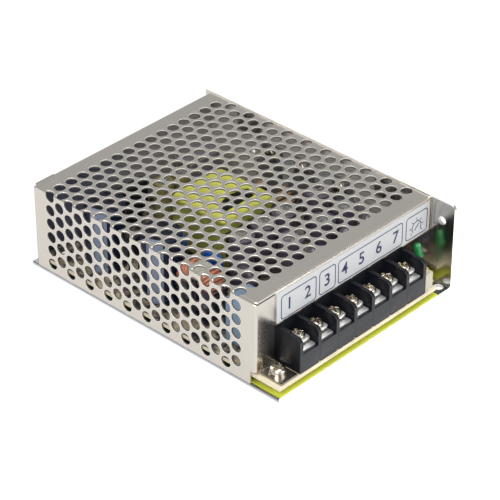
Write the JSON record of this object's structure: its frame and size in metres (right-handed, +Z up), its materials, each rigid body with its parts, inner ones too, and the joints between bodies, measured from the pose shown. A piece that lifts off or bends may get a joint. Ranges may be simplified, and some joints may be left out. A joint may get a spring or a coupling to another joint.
{
  "type": "power supply",
  "caption": "Switching power supply: L-shaped metal chassis with a perforated cover, a row of screw terminals under a label flange, an indicator lamp and a trimmer.",
  "frame": {"origin": "middle of the footprint, on the underside of the bottom plate", "axes": "+X towards the solid wall, -Y towards the terminals, +Z up; the case lies on its bottom plate"},
  "size_m": [0.098, 0.129, 0.038],
  "materials": {
    "cover_steel": "satin perforated sheet",
    "chassis_steel": "bright rolled sheet",
    "film": "thin yellow-green film",
    "board": "tan laminate",
    "screw_steel": "bright plated",
    "terminal_steel": "bright plated",
    "clamp_steel": "bright plated",
    "contact_metal": "tin plated",
    "block_plastic": "moulded black",
    "label": "silver white printed sheet",
    "lamp_green": "translucent green",
    "white_plastic": "moulded",
    "cream_plastic": "moulded",
    "bobbin_plastic": "moulded",
    "ferrite": "dull sintered",
    "tape": "wound tape",
    "sleeve_navy": "shrunk sleeve",
    "sleeve_brown": "shrunk sleeve",
    "box_blue": "moulded",
    "box_beige": "moulded",
    "disc_blue": "dipped coating",
    "enamel_copper": "enamelled wire",
    "chip_black": "moulded",
    "resistor_coat": "lacquered",
    "pad_grey": "soft sheet"
  },
  "bodies": {
    "case": {"board_screws": "screw_steel", "board_standoffs": "screw_steel", "bridge_rectifier": "chip_black", "bulk_capacitor_1": "sleeve_navy", "bulk_capacitor_2": "sleeve_navy", "chassis": "chassis_steel", "circuit_board": "board", "controller": "chip_black", "cover_side_screws": "screw_steel", "device_pad": "pad_grey", "device_screws": "screw_steel", "disc_capacitors": "disc_blue", "filter_choke_base": "white_plastic", "filter_choke_core": "ferrite", "filter_choke_winding": "enamel_copper", "foot_screw": "screw_steel", "foot_washer": "screw_steel", "fuse": "chip_black", "indicator_lamp": "lamp_green", "insulation_film": "film", "label_plate": "label", "line_capacitor": "box_blue", "mesh_cover": "cover_steel", "optocouplers": "white_plastic", "output_capacitors": "sleeve_brown", "output_choke_base": "white_plastic", "output_choke_core": "ferrite", "output_choke_winding": "enamel_copper", "power_devices": "chip_black", "resistors": "resistor_coat", "safety_capacitor": "box_beige", "supply_capacitors": "sleeve_navy", "terminal_block": "block_plastic", "terminal_contacts": "contact_metal", "thermistor": "chip_black", "transformer_bobbin": "bobbin_plastic", "transformer_core": "ferrite", "transformer_winding": "tape", "trimmer_body": "white_plastic", "varistor": "disc_blue"},
    "clamp_1": {"terminal_clamp_1": "clamp_steel"},
    "screw_1": {"terminal_screw_1": "terminal_steel"},
    "clamp_2": {"terminal_clamp_2": "clamp_steel"},
    "screw_2": {"terminal_screw_2": "terminal_steel"},
    "clamp_3": {"terminal_clamp_3": "clamp_steel"},
    "screw_3": {"terminal_screw_3": "terminal_steel"},
    "clamp_4": {"terminal_clamp_4": "clamp_steel"},
    "screw_4": {"terminal_screw_4": "terminal_steel"},
    "clamp_5": {"terminal_clamp_5": "clamp_steel"},
    "screw_5": {"terminal_screw_5": "terminal_steel"},
    "clamp_6": {"terminal_clamp_6": "clamp_steel"},
    "screw_6": {"terminal_screw_6": "terminal_steel"},
    "clamp_7": {"terminal_clamp_7": "clamp_steel"},
    "screw_7": {"terminal_screw_7": "terminal_steel"},
    "trimmer": {"trimmer_rotor": "cream_plastic"}
  },
  "joints": [
    {"name": "clamp_1_lift", "type": "slide", "parent": "case", "child": "clamp_1", "axis": [0, 0, 1], "range_m": [-0.00095, 0.002]},
    {"name": "screw_1_turn", "type": "hinge", "parent": "clamp_1", "child": "screw_1", "pos_m": [-0.0313, -0.0571, 0.0162], "axis": [0, 0, 1], "range_deg": [-575, 1205]},
    {"name": "clamp_2_lift", "type": "slide", "parent": "case", "child": "clamp_2", "axis": [0, 0, 1], "range_m": [-0.00095, 0.002]},
    {"name": "screw_2_turn", "type": "hinge", "parent": "clamp_2", "child": "screw_2", "pos_m": [-0.0215, -0.0571, 0.0162], "axis": [0, 0, 1], "range_deg": [-575, 1205]},
    {"name": "clamp_3_lift", "type": "slide", "parent": "case", "child": "clamp_3", "axis": [0, 0, 1], "range_m": [-0.00095, 0.002]},
    {"name": "screw_3_turn", "type": "hinge", "parent": "clamp_3", "child": "screw_3", "pos_m": [-0.0117, -0.0571, 0.0162], "axis": [0, 0, 1], "range_deg": [-575, 1205]},
    {"name": "clamp_4_lift", "type": "slide", "parent": "case", "child": "clamp_4", "axis": [0, 0, 1], "range_m": [-0.00095, 0.002]},
    {"name": "screw_4_turn", "type": "hinge", "parent": "clamp_4", "child": "screw_4", "pos_m": [-0.0019, -0.0571, 0.0162], "axis": [0, 0, 1], "range_deg": [-575, 1205]},
    {"name": "clamp_5_lift", "type": "slide", "parent": "case", "child": "clamp_5", "axis": [0, 0, 1], "range_m": [-0.00095, 0.002]},
    {"name": "screw_5_turn", "type": "hinge", "parent": "clamp_5", "child": "screw_5", "pos_m": [0.0079, -0.0571, 0.0162], "axis": [0, 0, 1], "range_deg": [-575, 1205]},
    {"name": "clamp_6_lift", "type": "slide", "parent": "case", "child": "clamp_6", "axis": [0, 0, 1], "range_m": [-0.00095, 0.002]},
    {"name": "screw_6_turn", "type": "hinge", "parent": "clamp_6", "child": "screw_6", "pos_m": [0.0177, -0.0571, 0.0162], "axis": [0, 0, 1], "range_deg": [-575, 1205]},
    {"name": "clamp_7_lift", "type": "slide", "parent": "case", "child": "clamp_7", "axis": [0, 0, 1], "range_m": [-0.00095, 0.002]},
    {"name": "screw_7_turn", "type": "hinge", "parent": "clamp_7", "child": "screw_7", "pos_m": [0.0275, -0.0571, 0.0162], "axis": [0, 0, 1], "range_deg": [-575, 1205]},
    {"name": "trimmer_turn", "type": "hinge", "parent": "case", "child": "trimmer", "pos_m": [0.0362, -0.0604, 0.0126], "axis": [0, 0, 1], "range_deg": [-130, 130]}
  ],
  "couplings": [
    {"joint": "screw_1_turn", "follows": "clamp_1_lift", "rad_per_m": 10472},
    {"joint": "screw_2_turn", "follows": "clamp_2_lift", "rad_per_m": 10472},
    {"joint": "screw_3_turn", "follows": "clamp_3_lift", "rad_per_m": 10472},
    {"joint": "screw_4_turn", "follows": "clamp_4_lift", "rad_per_m": 10472},
    {"joint": "screw_5_turn", "follows": "clamp_5_lift", "rad_per_m": 10472},
    {"joint": "screw_6_turn", "follows": "clamp_6_lift", "rad_per_m": 10472},
    {"joint": "screw_7_turn", "follows": "clamp_7_lift", "rad_per_m": 10472}
  ]
}
